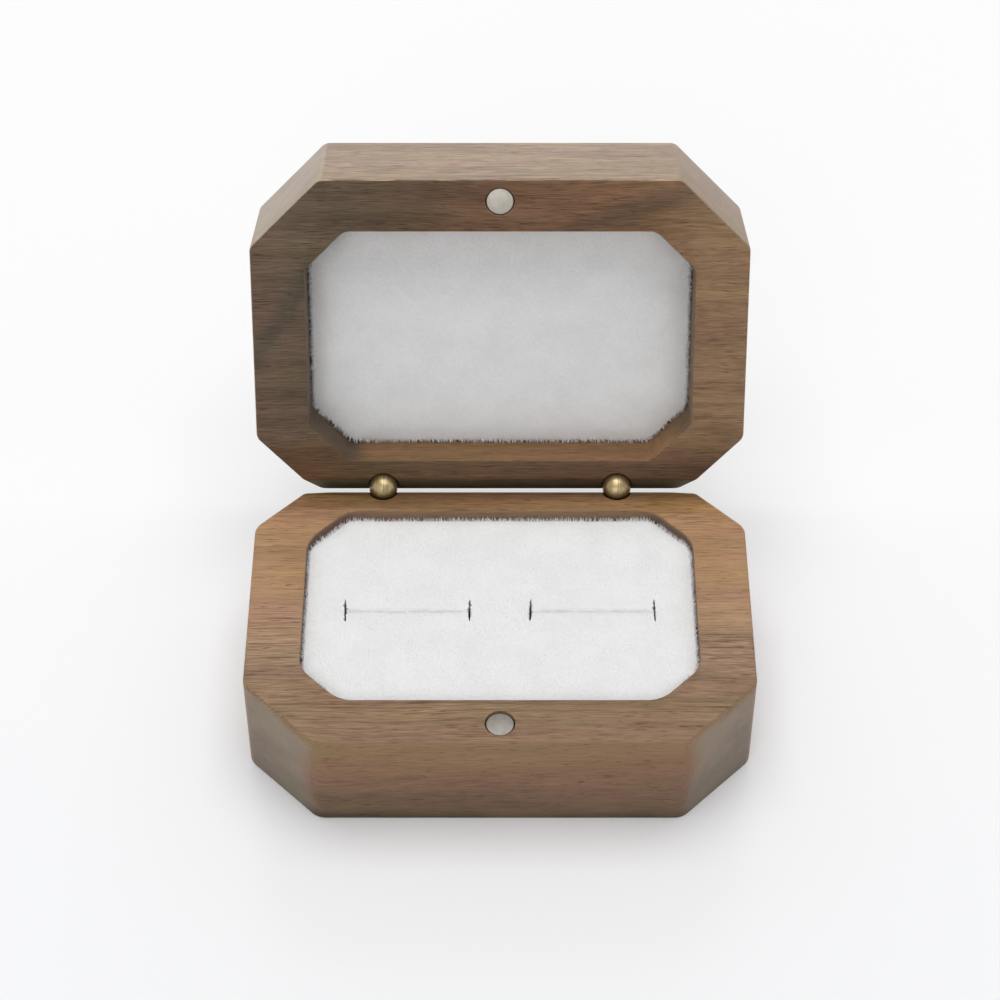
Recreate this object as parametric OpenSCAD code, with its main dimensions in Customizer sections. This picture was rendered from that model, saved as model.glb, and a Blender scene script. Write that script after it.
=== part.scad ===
// Eight-sided wooden ring box, shown open: a base and a lid of walnut with cut corners,
// joined at the rear by two brass ball hinges that sit in a V groove between the halves.
// The base holds a plush ring pad with two slots, the lid a plush lining, and a magnet
// in each front rim keeps the box shut.
// X runs from side to side, the front faces -Y, and Z is up from the face it stands on.
// The lid is drawn shut, then turned about the hinge pins to the angle it opens to.

/* [Box] */
// Width of the box from side to side
box_w = 90; // [84:1:120]
// Depth of the base from its front face to its rear face
box_d = 62.5; // [58:0.5:80]
// Height of the base
base_h = 22; // [20:0.5:30]
// Height of the lid
lid_h = 23; // [21:0.5:32]
// How far each corner is cut back along both faces
corner_cut = 12.7; // [9:0.1:15]
// Bevel on the base's upper rear edge, across and down
rear_bevel = 4.35; // [4:0.05:5]
// How far the lid's rear face stands in from the base's
lid_setback = 1.1; // [0.6:0.1:1.2]
// Gap between the two rims when the box is shut
rim_gap = 0.2; // [0.1:0.05:0.4]
// Angle that the lid opens to
open_angle = 113.2; // [95:0.1:115]

/* [Pockets] */
// Width of the rims at the two sides
side_rim = 9.7; // [8:0.1:12]
// Width of the front rims
front_rim = 9.35; // [8.5:0.05:12]
// Distance from the base's rear face to its pocket
rear_rim = 8.65; // [8:0.05:11]
// How far each pocket corner is cut back along both walls
pocket_cut = 7.3; // [4:0.1:10]
// Thickness of the wood under the ring pad
base_floor = 5; // [3:0.5:7]
// Thickness of the wood behind the lid's lining
lid_roof = 6; // [3:0.5:8]
// How much nearer the hinges the lid's pocket is than the base's
lid_pocket_shift = 0.4; // [0:0.05:0.6]

/* [Ring pad and lining] */
// Depth of the ring pad's top below the base's rim
pad_drop = 1.4; // [1:0.05:4]
// Depth of the lining's face below the lid's rim
lining_drop = 8.05; // [7:0.05:11]
// Thickness of the plush, backing cloth and pile together
plush_t = 0.9; // [0.6:0.1:1.2]
// Thickness of the card behind each foam
card_t = 1; // [0.5:0.1:2]
// Gap between a pad and the wall of its pocket
pad_gap = 0.15; // [0.05:0.05:0.4]
// Width of the band along a pad's edge that rounds over
crown_w = 3; // [2:0.1:6]
// How much lower the edge of a pad is than its middle
crown_h = 0.8; // [0.5:0.1:2]

/* [Ring slots] */
// Distance from the middle of the box to the middle of each ring slot
slot_x = 16.6; // [14:0.1:18]
// How far the ring slots stand in front of the middle of the box
slot_forward = 0.35; // [0:0.05:3]
// Length of a ring slot
slot_len = 22.3; // [18:0.1:24]
// Gap between the two lips of plush in a ring slot
slot_gap = 0.6; // [0.4:0.1:1.5]
// Depth of a ring slot below the pad's top
slot_depth = 11; // [8:0.5:12]
// Length of the short cuts across the ends of a slot
end_cut = 5.3; // [4:0.1:7]

/* [Magnets] */
// Diameter of the magnets
magnet_d = 4.9; // [3:0.1:6]
// Thickness of the magnets
magnet_t = 3; // [2:0.5:4]
// Gap round a magnet in its hole
magnet_gap = 0.2; // [0.1:0.05:0.3]
// Depth of a magnet's face below the rim
magnet_sink = 0.3; // [0.1:0.1:0.6]
// Distance from the front face to the middle of the magnets
magnet_inset = 4.15; // [3.8:0.05:5]

/* [Hinges] */
// Distance from the middle of the box to each hinge
hinge_x = 21.7; // [16:0.1:24]
// Distance from the base's rear face to the hinge pins
hinge_inset = 2.9; // [2.8:0.05:3.2]
// Diameter of the ball that the two leaves make together
ball_d = 5.25; // [4.8:0.05:5.5]
// Gap between the ball and the round mouth cut in the wood about it
mouth_gap = 0.2; // [0.1:0.05:0.4]
// Width of the countersink round each mouth in the base
mouth_flare = 0.35; // [0.1:0.05:0.5]
// Thickness of the shoulder that seats a leaf in its mouth
shoulder_t = 0.45; // [0.3:0.05:0.8]
// Diameter of the shank that is pressed into the wood
shank_d = 2.6; // [2:0.1:2.8]
// Length of the shank below its shoulder
shank_len = 9; // [6:0.5:12]
// Thickness of the lid leaf's tongue
tongue_t = 0.5; // [0.5:0.05:1.2]
// How far the tongue stands to the right of the ball's middle
tongue_side = 0.45; // [0:0.05:0.6]
// Width of the neck that joins the tongue to its shoulder
neck_w = 2.4; // [1.6:0.1:2.6]
// Diameter of the hinge pin
pin_d = 1; // [0.8:0.1:1.4]
// Clearance on each side of the tongue, and round the pin in the tongue
hinge_play = 0.05; // [0.03:0.01:0.08]
// Angle left between the two shoulders at the end of the opening
stop_play = 1; // [0.5:0.1:2]

/* [Hidden] */
$fn = 64;

walnut = [0.45, 0.32, 0.23];
plush = [0.93, 0.93, 0.92];
foam = [0.86, 0.85, 0.80];
card = [0.62, 0.55, 0.46];
brass = [0.66, 0.55, 0.33];
magnet_steel = [0.72, 0.72, 0.70];

// How far a cut runs past the face it starts from
past = 1;
// A line moved in by g shortens a 45 degree corner cut by this share of g
cut_share = 2 - sqrt(2);

half_w = box_w / 2;
front_y = -box_d / 2;
rear_y = box_d / 2;
bevel_y = rear_y - rear_bevel;
lid_rear_y = rear_y - lid_setback;
lid_z = base_h + rim_gap;

pivot_y = rear_y - hinge_inset;
pivot_z = base_h + rim_gap / 2;

pocket_x = half_w - side_rim;
pocket_front = front_y + front_rim;
pocket_rear = rear_y - rear_rim;

pad_top = base_h - pad_drop;
lining_t = lid_h - lid_roof - lining_drop;

ball_r = ball_d / 2;
swing_r = ball_r + 0.08;
shoulder_z = swing_r + 0.15;
shoulder_r = shoulder_z * tan((180 - open_angle - stop_play) / 2);
mouth_r = ball_r + mouth_gap;
mouth_deep = shoulder_z + shoulder_t;
shank_end = mouth_deep + shank_len;
pin_len = 2 * sqrt(ball_r * ball_r - pin_d * pin_d / 4);

magnet_y = front_y + magnet_inset;
magnet_hole = magnet_t + magnet_sink;

crown_steps = 6;

// Corners of an eight-sided outline, with its own cut for the two rear corners
function octagon(x, y0, y1, cut, rear_cut) = [
    [x, y0 + cut], [x, y1 - rear_cut], [x - rear_cut, y1], [rear_cut - x, y1],
    [-x, y1 - rear_cut], [-x, y0 + cut], [cut - x, y0], [x - cut, y0]
];

module pocket_outline(inset = 0) {
    cut = pocket_cut - cut_share * inset;
    polygon(octagon(pocket_x - inset, pocket_front + inset, pocket_rear - inset, cut, cut));
}

// A bar across the box whose section is drawn with Y to the right and Z up
module bar_along_x(points) {
    translate([-half_w - past, 0, 0]) rotate([90, 0, 90])
        linear_extrude(box_w + 2 * past) polygon(points);
}

module base_bevel_cut() {
    bar_along_x([
        [bevel_y, base_h], [rear_y + past, base_h - rear_bevel - past],
        [rear_y + past, base_h + past], [bevel_y, base_h + past]
    ]);
}

module lid_bevel_cut() {
    reach = rear_y + past - bevel_y;
    bar_along_x([
        [bevel_y, lid_z], [bevel_y, lid_z - past],
        [rear_y + past, lid_z - past], [rear_y + past, lid_z + reach]
    ]);
}

// Mouth and bore for one hinge leaf, from the middle of the ball along +Z
module leaf_socket() {
    translate([0, 0, -past]) cylinder(r = mouth_r, h = mouth_deep + past);
    cylinder(d = shank_d, h = shank_end);
}

// Countersink of a mouth in the base, from the middle of the ball, at 45 degrees
module mouth_countersink() {
    reach = mouth_r + mouth_flare;
    translate([0, 0, -rim_gap / 2 - reach]) cylinder(r1 = 0, r2 = reach + past, h = reach + past);
}

module at_hinges() {
    for (side = [-1, 1]) translate([side * hinge_x, pivot_y, pivot_z]) children();
}

// Turns what is drawn shut about the hinge pins to where it rests open
module opened() {
    translate([0, pivot_y, pivot_z]) rotate([-open_angle, 0, 0])
        translate([0, -pivot_y, -pivot_z]) children();
}

module base_body() {
    color(walnut) difference() {
        linear_extrude(base_h)
            polygon(octagon(half_w, front_y, rear_y, corner_cut, corner_cut));
        base_bevel_cut();
        translate([0, 0, base_floor]) linear_extrude(base_h) pocket_outline();
        translate([0, magnet_y, base_h - magnet_hole])
            cylinder(d = magnet_d + 2 * magnet_gap, h = magnet_hole + past);
        at_hinges() mirror([0, 0, 1]) leaf_socket();
        at_hinges() mouth_countersink();
    }
}

module lid_body() {
    rear_cut = corner_cut - lid_setback;
    color(walnut) opened() difference() {
        translate([0, 0, lid_z]) linear_extrude(lid_h)
            polygon(octagon(half_w, front_y, lid_rear_y, corner_cut, rear_cut));
        lid_bevel_cut();
        translate([0, lid_pocket_shift, lid_z - past])
            linear_extrude(lid_h - lid_roof + past) pocket_outline();
        translate([0, magnet_y, lid_z - past])
            cylinder(d = magnet_d + 2 * magnet_gap, h = magnet_hole + past);
        at_hinges() leaf_socket();
    }
}

module base_magnet() {
    color(magnet_steel) translate([0, magnet_y, base_h - magnet_hole])
        cylinder(d = magnet_d, h = magnet_t);
}

module lid_magnet() {
    color(magnet_steel) opened() translate([0, magnet_y, lid_z + magnet_sink])
        cylinder(d = magnet_d, h = magnet_t);
}

// A pad that fills the pocket from z = 0 up to its top, with a rounded, crowned edge
module pad_form(inset, top) {
    hull() {
        linear_extrude(top - crown_h) pocket_outline(inset);
        for (step = [1 : crown_steps]) {
            turn = 90 * step / crown_steps;
            layer_top = top - crown_h + crown_h * sin(turn);
            translate([0, 0, layer_top - crown_h / 10]) linear_extrude(crown_h / 10)
                pocket_outline(inset + crown_w * (1 - cos(turn)));
        }
    }
}

// The two ring slots, each with a short cut across both ends, open upwards from z = 0
module slot_cuts() {
    for (side = [-1, 1]) translate([side * slot_x, -slot_forward, slot_depth]) {
        cube([slot_len, slot_gap, 2 * slot_depth], center = true);
        for (end = [-1, 1]) translate([end * slot_len / 2, 0, 0])
            cube([slot_gap, end_cut, 2 * slot_depth], center = true);
    }
}

// Room in the foam for the lips of plush that turn down into each slot
module lip_channels() {
    for (side = [-1, 1]) translate([side * slot_x, -slot_forward, slot_depth])
        cube([slot_len, slot_gap + 2 * plush_t, 2 * slot_depth], center = true);
}

pad_t = pad_top - base_floor;
slot_floor = pad_t - slot_depth;
core_inset = pad_gap + plush_t;

module ring_pad_card() {
    color(card) translate([0, 0, base_floor]) linear_extrude(card_t) pocket_outline(core_inset);
}

module ring_pad_core() {
    difference() {
        pad_form(core_inset, pad_t - plush_t);
        translate([0, 0, slot_floor]) lip_channels();
    }
}

module ring_pad_foam() {
    color(foam) translate([0, 0, base_floor]) difference() {
        ring_pad_core();
        translate([0, 0, -past]) linear_extrude(card_t + past) pocket_outline();
        translate([0, 0, slot_floor]) slot_cuts();
    }
}

module ring_pad_plush() {
    color(plush) translate([0, 0, base_floor]) difference() {
        pad_form(pad_gap, pad_t);
        ring_pad_core();
        translate([0, 0, slot_floor]) slot_cuts();
    }
}

// Places a lining drawn upwards from z = 0 in the lid's pocket, against its roof, shut
module on_lid_roof() {
    translate([0, lid_pocket_shift, lid_z + lid_h - lid_roof]) mirror([0, 0, 1]) children();
}

module lid_lining_card() {
    color(card) opened() on_lid_roof() linear_extrude(card_t) pocket_outline(core_inset);
}

module lid_lining_foam() {
    color(foam) opened() on_lid_roof() difference() {
        pad_form(core_inset, lining_t - plush_t);
        translate([0, 0, -past]) linear_extrude(card_t + past) pocket_outline();
    }
}

module lid_lining_plush() {
    color(plush) opened() on_lid_roof() difference() {
        pad_form(pad_gap, lining_t);
        pad_form(core_inset, lining_t - plush_t);
    }
}

module tongue_slab(extra) {
    translate([tongue_side, 0, 0]) rotate([0, 90, 0])
        cylinder(r = swing_r, h = tongue_t + 2 * extra, center = true);
}

module pin_rod(extra) {
    rotate([0, 90, 0]) cylinder(d = pin_d + 2 * extra, h = ball_d + past, center = true);
}

// Shoulder and shank of one leaf, from the middle of the ball along +Z
module leaf_stem() {
    translate([0, 0, shoulder_z]) cylinder(r = shoulder_r, h = shoulder_t);
    translate([0, 0, mouth_deep - shoulder_t / 2])
        cylinder(d = shank_d, h = shank_len + shoulder_t / 2);
}

// The forked leaf: two cheeks of the ball on a stem that points down into the base
module base_leaf() {
    difference() {
        union() {
            sphere(d = ball_d);
            mirror([0, 0, 1]) cylinder(d = neck_w, h = shoulder_z);
            mirror([0, 0, 1]) leaf_stem();
        }
        tongue_slab(hinge_play);
        pin_rod(0);
    }
}

// The leaf with the tongue, which turns between the cheeks on the pin
module lid_leaf() {
    difference() {
        union() {
            intersection() {
                rotate([0, 90, 0]) sphere(d = ball_d);
                tongue_slab(0);
            }
            translate([tongue_side - tongue_t / 2, -neck_w / 2, 0])
                cube([tongue_t, neck_w, shoulder_z]);
            leaf_stem();
        }
        pin_rod(hinge_play);
    }
}

module hinge_base_leaf(side) {
    color(brass) translate([side * hinge_x, pivot_y, pivot_z]) base_leaf();
}

module hinge_lid_leaf(side) {
    color(brass) opened() translate([side * hinge_x, pivot_y, pivot_z]) lid_leaf();
}

module hinge_pin(side) {
    color(brass) translate([side * hinge_x, pivot_y, pivot_z]) rotate([0, 90, 0])
        cylinder(d = pin_d, h = pin_len, center = true);
}

base_body();
base_magnet();
ring_pad_card();
ring_pad_foam();
ring_pad_plush();
lid_body();
lid_magnet();
lid_lining_card();
lid_lining_foam();
lid_lining_plush();
hinge_base_leaf(-1);  // left_hinge_base_leaf
hinge_lid_leaf(-1);  // left_hinge_lid_leaf
hinge_pin(-1);  // left_hinge_pin
hinge_base_leaf(1);  // right_hinge_base_leaf
hinge_lid_leaf(1);  // right_hinge_lid_leaf
hinge_pin(1);  // right_hinge_pin
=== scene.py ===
import math

import bmesh
import bpy
from mathutils import Matrix, Vector, noise


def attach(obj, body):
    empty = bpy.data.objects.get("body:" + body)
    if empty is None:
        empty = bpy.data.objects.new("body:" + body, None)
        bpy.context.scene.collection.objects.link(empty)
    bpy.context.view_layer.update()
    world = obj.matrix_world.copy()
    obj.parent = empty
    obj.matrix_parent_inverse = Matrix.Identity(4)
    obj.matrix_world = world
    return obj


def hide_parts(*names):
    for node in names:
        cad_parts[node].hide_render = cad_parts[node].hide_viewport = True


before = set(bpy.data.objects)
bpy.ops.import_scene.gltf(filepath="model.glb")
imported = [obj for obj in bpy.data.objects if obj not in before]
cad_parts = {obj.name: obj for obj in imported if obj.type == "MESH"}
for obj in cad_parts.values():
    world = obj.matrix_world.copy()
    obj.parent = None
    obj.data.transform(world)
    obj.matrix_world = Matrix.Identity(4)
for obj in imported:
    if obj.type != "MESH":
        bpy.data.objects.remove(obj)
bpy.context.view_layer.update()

# Sizes of the box in metres, the same as the solids'. The lid is worked on shut and
# turned open at the end, about the hinge pins.
MM = 0.001
HALF_W = 45 * MM
FRONT_Y = -31.25 * MM
REAR_Y = 31.25 * MM
LID_REAR_Y = 30.15 * MM
BASE_H = 22 * MM
LID_Z = 22.2 * MM
LID_TOP = 45.2 * MM
CORNER_CUT = 12.7 * MM
LID_REAR_CUT = 11.6 * MM
BEVEL_Y = 26.9 * MM
PIVOT = Vector((0, 28.35 * MM, 22.1 * MM))
OPEN_TURN = math.radians(-113.2)

POCKET_X = 35.3 * MM
POCKET_FRONT = -21.9 * MM
POCKET_REAR = 22.6 * MM
POCKET_CUT = 7.3 * MM
BASE_FLOOR = 5 * MM
LID_ROOF = 39.2 * MM
PAD_TOP = 20.6 * MM
LINING_TOP = 30.25 * MM
LID_SHIFT = 0.4 * MM

SLOT_X = 16.6 * MM
SLOT_Y = -0.35 * MM
SLOT_LEN = 22.3 * MM
SLOT_FLOOR = 9.6 * MM
END_CUT = 5.3 * MM

MAGNET_Y = -27.1 * MM
MAGNET_R = 2.45 * MM
MAGNET_HOLE_R = 2.65 * MM
MAGNET_SINK = 0.3 * MM
MAGNET_T = 3 * MM

HINGE_X = 21.7 * MM
BALL_R = 2.625 * MM
SWING_R = 2.705 * MM
MOUTH_R = 2.825 * MM
MOUTH_FLARE = 0.35 * MM
SHOULDER_Z = 2.855 * MM
SHOULDER_T = 0.45 * MM
SHOULDER_R = 1.85 * MM
MOUTH_DEEP = 3.305 * MM
SHANK_R = 1.3 * MM
SHANK_END = 12.305 * MM
TONGUE_X = 0.45 * MM
TONGUE_T = 0.5 * MM
NECK_W = 2.4 * MM
PIN_R = 0.5 * MM
PLAY = 0.05 * MM

# Rounding of the wood's upright edges and pockets, and the easing of its other edges
BASE_ROUND = 1.3 * MM
LID_ROUND = 0.8 * MM
BASE_POCKET_ROUND = 2.2 * MM
LID_POCKET_ROUND = 1.0 * MM
UNDER_EASE = 0.25 * MM
EDGE_EASE = 0.5 * MM
POCKET_EASE = 0.3 * MM
HOLE_EASE = 0.12 * MM

# Metres to millimetres for the finishes, and how close counts as near or as the same place
IN_MM = (1000, 1000, 1000)
NEAR = 1e-5
SAME = 1e-6

OPENED = Matrix.Translation(PIVOT) @ Matrix.Rotation(OPEN_TURN, 4, "X") @ Matrix.Translation(-PIVOT)


# Working by hand: what is picked, edited, cut and finished

def pick_only(*objs):
    bpy.ops.object.select_all(action="DESELECT")
    for o in objs:
        o.select_set(True)
    bpy.context.view_layer.objects.active = objs[0]


def place_in_mesh(obj):
    pick_only(obj)
    bpy.ops.object.transform_apply(location=True, rotation=True, scale=True)


def new_cube(name, low, high):
    bpy.ops.object.select_all(action="DESELECT")
    low, high = Vector(low), Vector(high)
    bpy.ops.mesh.primitive_cube_add(size=1, location=(low + high) / 2)
    obj = bpy.context.object
    obj.name = name
    obj.scale = high - low
    place_in_mesh(obj)
    return obj


def new_cylinder(name, radius, start, end, sides=64):
    bpy.ops.object.select_all(action="DESELECT")
    start, end = Vector(start), Vector(end)
    bpy.ops.mesh.primitive_cylinder_add(vertices=sides, radius=radius, depth=(end - start).length)
    obj = bpy.context.object
    obj.name = name
    obj.rotation_euler = (end - start).to_track_quat("Z", "Y").to_euler()
    obj.location = (start + end) / 2
    place_in_mesh(obj)
    return obj


def edit_edges(obj, wanted):
    """Enters edit mode with the edges picked whose two ends and faces pass the test."""
    pick_only(obj)
    bpy.ops.object.mode_set(mode="EDIT")
    bpy.context.tool_settings.mesh_select_mode = (False, True, False)
    bpy.ops.mesh.select_all(action="DESELECT")
    bm = bmesh.from_edit_mesh(obj.data)
    for e in bm.edges:
        if wanted(e):
            e.select_set(True)
    bmesh.update_edit_mesh(obj.data)


def edit_faces(obj, wanted):
    pick_only(obj)
    bpy.ops.object.mode_set(mode="EDIT")
    bpy.context.tool_settings.mesh_select_mode = (False, False, True)
    bpy.ops.mesh.select_all(action="DESELECT")
    bm = bmesh.from_edit_mesh(obj.data)
    for f in bm.faces:
        if wanted(f):
            f.select_set(True)
    bmesh.update_edit_mesh(obj.data)


def leave_edit():
    bpy.ops.object.mode_set(mode="OBJECT")


def bevel_edges(obj, wanted, width, segments=1):
    edit_edges(obj, wanted)
    bpy.ops.mesh.bevel(offset=width, offset_type="OFFSET", segments=segments, profile=0.5,
                       affect="EDGES", clamp_overlap=True)
    leave_edit()


def upright(e):
    a, b = e.verts[0].co, e.verts[1].co
    return abs(a.x - b.x) < SAME and abs(a.y - b.y) < SAME and abs(a.z - b.z) > NEAR


def lies_at(e, axis, place):
    return all(abs(v.co[axis] - place) < SAME for v in e.verts)


def apply_last(obj):
    pick_only(obj)
    bpy.ops.object.modifier_apply(modifier=obj.modifiers[-1].name)


def cut_away(obj, cutter, keep=False):
    m = obj.modifiers.new("cut", "BOOLEAN")
    m.operation = "DIFFERENCE"
    m.solver = "EXACT"
    m.object = cutter
    apply_last(obj)
    if not keep:
        bpy.data.objects.remove(cutter)


def join_on(obj, other):
    m = obj.modifiers.new("join", "BOOLEAN")
    m.operation = "UNION"
    m.solver = "EXACT"
    m.object = other
    apply_last(obj)
    bpy.data.objects.remove(other)


def smooth(obj, degrees=35):
    pick_only(obj)
    bpy.ops.object.shade_smooth_by_angle(angle=math.radians(degrees))


def turn_open(obj):
    obj.matrix_world = OPENED @ obj.matrix_world
    place_in_mesh(obj)


def copy_of(obj, name):
    other = obj.copy()
    other.data = obj.data.copy()
    other.name = name
    bpy.context.collection.objects.link(other)
    return other


# Shader work: small helpers, then the node groups that the finishes share

class Sheet:
    """A material's or a group's node tree, with short words for adding and joining nodes."""

    def __init__(self, tree):
        self.tree = tree

    def add(self, kind, **values):
        n = self.tree.nodes.new(kind)
        for key, value in values.items():
            setattr(n, key, value)
        return n

    def link(self, a, b):
        self.tree.links.new(a, b)

    def put(self, node, socket, value):
        if isinstance(value, bpy.types.NodeSocket):
            self.link(value, node.inputs[socket])
        else:
            node.inputs[socket].default_value = value

    def mapping(self, vector, location=(0, 0, 0), rotation=(0, 0, 0), scale=(1, 1, 1), kind="POINT"):
        n = self.add("ShaderNodeMapping", vector_type=kind)
        self.link(vector, n.inputs["Vector"])
        if kind == "POINT":
            n.inputs["Location"].default_value = location
        n.inputs["Rotation"].default_value = rotation
        n.inputs["Scale"].default_value = scale
        return n.outputs["Vector"]

    def math(self, operation, a, b=0.0, clamp=False):
        n = self.add("ShaderNodeMath", operation=operation, use_clamp=clamp)
        self.put(n, 0, a)
        self.put(n, 1, b)
        return n.outputs[0]

    def plus(self, a, b):
        return self.math("ADD", a, b)

    def minus(self, a, b):
        return self.math("SUBTRACT", a, b)

    def times(self, a, b):
        return self.math("MULTIPLY", a, b)

    def size_of(self, a):
        return self.math("ABSOLUTE", a)

    def vmath(self, operation, a, b=(0, 0, 0)):
        n = self.add("ShaderNodeVectorMath", operation=operation)
        self.put(n, 0, a)
        self.put(n, 1, b)
        return n.outputs[0]

    def noise(self, vector, scale=1.0, detail=2.0, rough=0.5):
        n = self.add("ShaderNodeTexNoise")
        self.link(vector, n.inputs["Vector"])
        n.inputs["Scale"].default_value = scale
        n.inputs["Detail"].default_value = detail
        n.inputs["Roughness"].default_value = rough
        return n.outputs["Fac"]

    def split(self, vector):
        n = self.add("ShaderNodeSeparateXYZ")
        self.link(vector, n.inputs[0])
        return n.outputs[0], n.outputs[1], n.outputs[2]

    def band(self, value, low, high, to_low=0.0, to_high=1.0, smooth_ends=True):
        n = self.add("ShaderNodeMapRange")
        n.interpolation_type = "SMOOTHSTEP" if smooth_ends else "LINEAR"
        n.clamp = True
        self.put(n, "Value", value)
        n.inputs["From Min"].default_value = low
        n.inputs["From Max"].default_value = high
        n.inputs["To Min"].default_value = to_low
        n.inputs["To Max"].default_value = to_high
        return n.outputs["Result"]

    def ramp(self, value, stops):
        n = self.add("ShaderNodeValToRGB")
        self.link(value, n.inputs["Fac"])
        els = n.color_ramp.elements
        while len(els) > 1:
            els.remove(els[-1])
        els[0].position, els[0].color = stops[0][0], (*stops[0][1], 1)
        for at, colour in stops[1:]:
            e = els.new(at)
            e.color = (*colour, 1)
        return n.outputs["Color"]

    def mix(self, factor, a, b, blend="MIX"):
        n = self.add("ShaderNodeMix", data_type="RGBA", blend_type=blend)
        self.put(n, 0, factor)
        for socket, value in ((6, a), (7, b)):
            self.put(n, socket, value if isinstance(value, bpy.types.NodeSocket) else (*value, 1))
        return n.outputs[2]

    def group(self, tree, **values):
        n = self.add("ShaderNodeGroup")
        n.node_tree = tree
        for key, value in values.items():
            self.put(n, key.replace("_", " "), value)
        return n


def new_group(name, inputs, outputs):
    tree = bpy.data.node_groups.new(name, "ShaderNodeTree")
    for label, kind, value in inputs:
        s = tree.interface.new_socket(label, in_out="INPUT", socket_type=kind)
        if value is not None:
            s.default_value = value
    for label, kind in outputs:
        tree.interface.new_socket(label, in_out="OUTPUT", socket_type=kind)
    sheet = Sheet(tree)
    return sheet, sheet.add("NodeGroupInput").outputs, sheet.add("NodeGroupOutput").inputs


def new_finish(name):
    """A material whose tree holds one Principled BSDF; returns it, its sheet and the BSDF."""
    m = bpy.data.materials.new(name)
    m.use_nodes = True
    sheet = Sheet(m.node_tree)
    return m, sheet, m.node_tree.nodes["Principled BSDF"]


def add_bump(sheet, bsdf, height, distance, strength=1.0):
    n = sheet.add("ShaderNodeBump")
    n.inputs["Strength"].default_value = strength
    n.inputs["Distance"].default_value = distance
    sheet.link(height, n.inputs["Height"])
    sheet.link(n.outputs["Normal"], bsdf.inputs["Normal"])


def seen_directly(sheet):
    """1 for what the camera sees, also in a shine or through glass, and 0 for light that falls."""
    rays = sheet.add("ShaderNodeLightPath")
    seen = sheet.math("MAXIMUM", rays.outputs["Is Camera Ray"], rays.outputs["Is Glossy Ray"])
    return sheet.math("MAXIMUM", seen, rays.outputs["Is Transmission Ray"])


def wear(obj, finish):
    obj.data.materials.clear()
    obj.data.materials.append(finish)


def make_walnut_grain():
    """Grain of walnut sawn along X, in millimetres, over the ground colour it is given."""
    s, i, o = new_group("walnut_grain", [
        ("Point", "NodeSocketVector", None),
        ("Ground", "NodeSocketColor", (0.3, 0.19, 0.12, 1)),
        ("Contrast", "NodeSocketFloat", 1.0),
        ("Lines", "NodeSocketFloat", 0.2),
        ("Dashes", "NodeSocketFloat", 1.0),
    ], [("Color", "NodeSocketColor"), ("Roughness", "NodeSocketFloat"), ("Height", "NodeSocketFloat")])
    p = i["Point"]
    n = s.add("ShaderNodeTexNoise")
    s.link(s.mapping(p, scale=(0.018, 0.08, 0.08)), n.inputs["Vector"])
    n.inputs["Scale"].default_value = 1.0
    n.inputs["Detail"].default_value = 2.0
    wave = s.vmath("SUBTRACT", n.outputs["Color"], (0.5, 0.5, 0.5))
    bent = s.vmath("ADD", p, s.vmath("MULTIPLY", wave, (0, 3.5, 3.5)))
    bands = s.noise(s.mapping(bent, scale=(0.012, 0.22, 0.22)), 1.0, 3.0, 0.6)
    streaks = s.noise(s.mapping(bent, location=(4, 9, 1), scale=(0.04, 1.1, 1.1)), 1.0, 4.0, 0.62)
    fine = s.noise(s.mapping(bent, location=(1, 3, 8), scale=(0.12, 3.6, 3.6)), 1.0, 2.0, 0.5)
    hair = s.noise(s.mapping(bent, location=(7, 2, 5), scale=(0.26, 5.6, 5.6)), 1.0, 1.0, 0.5)
    hue = s.noise(s.mapping(bent, location=(2, 6, 3), scale=(0.022, 0.2, 0.2)), 1.0, 3.0, 0.55)
    tone = s.times(s.minus(bands, 0.5), 0.8)
    for part, share in ((streaks, 0.42), (fine, 0.75), (hair, 0.85)):
        tone = s.plus(tone, s.times(s.minus(part, 0.5), share))
    tone = s.times(tone, i["Contrast"])
    shade = s.mix(s.band(tone, -0.42, 0.42, smooth_ends=False), (0.50, 0.49, 0.50), (1.50, 1.51, 1.50))
    tint = s.mix(s.band(hue, 0.38, 0.62), (0.988, 1.014, 0.96), (1.020, 0.978, 1.014))
    colour = s.mix(1.0, s.mix(1.0, i["Ground"], shade, "MULTIPLY"), tint, "MULTIPLY")
    line_field = s.noise(s.mapping(bent, location=(6, 5, 4), scale=(0.045, 4.6, 4.6)), 1.0, 1.0, 0.4)
    lines = s.times(s.band(line_field, 0.43, 0.35), i["Lines"])
    colour = s.mix(lines, colour, s.mix(1.0, colour, (0.42, 0.37, 0.36), "MULTIPLY"))
    pore_field = s.noise(s.mapping(bent, location=(9, 4, 2), scale=(0.34, 6.4, 6.4)), 1.0, 1.0, 0.4)
    pore_room = s.band(s.noise(s.mapping(bent, location=(2, 2, 6), scale=(0.03, 0.5, 0.5)), 1.0, 2.0),
                       0.35, 0.68, 0.02, -0.03)
    pore = s.times(s.band(s.plus(pore_field, pore_room), 0.35, 0.29), i["Dashes"])
    colour = s.mix(s.times(pore, 0.8), colour, s.mix(1.0, colour, (0.45, 0.4, 0.38), "MULTIPLY"))
    s.link(colour, o["Color"])
    s.link(s.plus(s.band(streaks, 0.3, 0.7, 0.42, 0.54), s.times(pore, 0.15)), o["Roughness"])
    height = s.minus(s.plus(s.times(fine, 0.3), s.times(streaks, 0.3)),
                    s.times(s.plus(pore, lines), 0.7))
    s.link(height, o["Height"])
    return s.tree


def flatwise(s, x, y, middle_y, half_x, half_y):
    """How far a point is out from the pocket's middle, 1 at the pocket's walls."""
    return s.math("MAXIMUM", s.math("DIVIDE", s.size_of(x), half_x),
                  s.math("DIVIDE", s.size_of(s.minus(y, middle_y)), half_y))


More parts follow.
